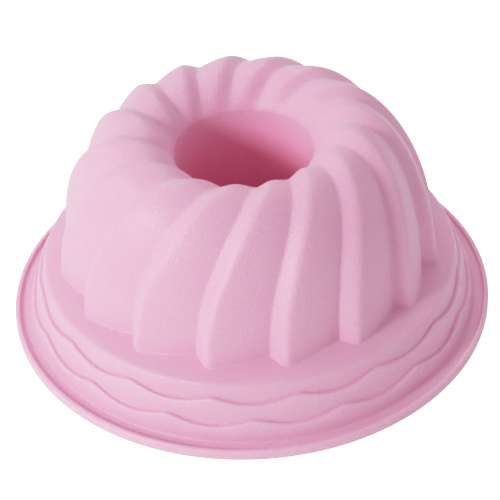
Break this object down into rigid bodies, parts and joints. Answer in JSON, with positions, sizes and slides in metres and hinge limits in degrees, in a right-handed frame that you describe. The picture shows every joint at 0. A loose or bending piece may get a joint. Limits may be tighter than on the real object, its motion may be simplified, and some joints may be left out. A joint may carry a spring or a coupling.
{
  "type": "bundt pan",
  "caption": "Silicone ring-cake mould with swirled flutes, an open centre tube, a scalloped skirt and a beaded rim stiffened by a wire hoop.",
  "frame": {"origin": "centre of the rim's resting plane, on the axis of the centre tube", "axes": "+Z along the tube axis from the rim to the crown, so the mould stands crown up; one flute tip meets the ledge 171.3 degrees clockwise from +X seen from above"},
  "size_m": [0.25, 0.25, 0.1112],
  "materials": {
    "silicone": "matte food-grade silicone with a fine grain",
    "spring_steel": "drawn wire",
    "sleeve_steel": "crimped tube"
  },
  "bodies": {
    "root": {"mould_body": "silicone", "rim_hoop": "spring_steel", "hoop_sleeve": "sleeve_steel"}
  },
  "joints": []
}
